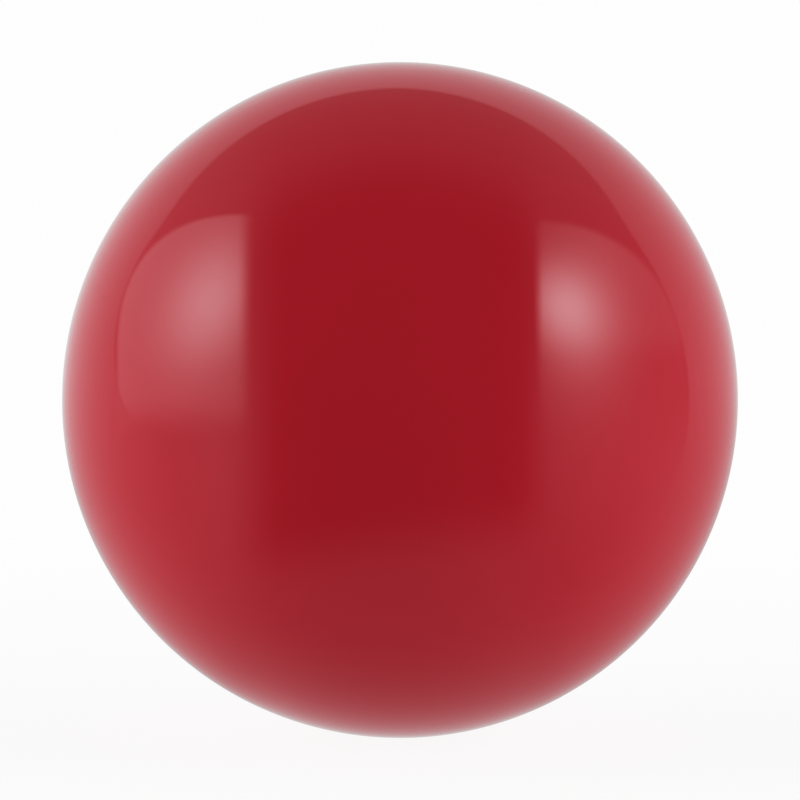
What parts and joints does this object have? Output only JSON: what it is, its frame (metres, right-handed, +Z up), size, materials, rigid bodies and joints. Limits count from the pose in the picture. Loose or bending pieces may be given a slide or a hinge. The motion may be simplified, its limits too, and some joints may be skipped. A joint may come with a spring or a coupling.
{
  "type": "bowling ball",
  "caption": "Glossy red tenpin bowling ball, drilled with inserted finger holes and a twist-lock thumb that lifts out.",
  "frame": {"origin": "centre of the ball", "axes": "+Z up; the grip is on the +Y side, its thumb above its two fingers; the -Y side is plain; the locator pin is towards +X"},
  "size_m": [0.2172, 0.2172, 0.2172],
  "materials": {
    "cover_polyester": "polished",
    "core_filler": "cast",
    "block_filler": "cast",
    "pin_plastic": "polished",
    "insert_vinyl": "satin",
    "outer_sleeve_plastic": "satin",
    "inner_sleeve_plastic": "satin",
    "slug_urethane": "satin",
    "ring_rubber": "matte"
  },
  "bodies": {
    "ball": {"coverstock": "cover_polyester", "outer_core": "core_filler", "weight_block": "block_filler", "locator_pin": "pin_plastic", "middle_finger_insert": "insert_vinyl", "ring_finger_insert": "insert_vinyl", "thumb_outer_sleeve": "outer_sleeve_plastic"},
    "thumb_turn": {"thumb_o_ring": "ring_rubber"},
    "thumb": {"thumb_inner_sleeve": "inner_sleeve_plastic", "thumb_slug": "slug_urethane"}
  },
  "joints": [
    {"name": "thumb_twist", "type": "hinge", "parent": "ball", "child": "thumb_turn", "pos_m": [0, 0, 0], "axis": [0, 0.6691, 0.7431], "range_deg": [0, 60]},
    {"name": "thumb_lift", "type": "slide", "parent": "thumb_turn", "child": "thumb", "axis": [0, 0.6691, 0.7431], "range_m": [0, 0.085]}
  ]
}
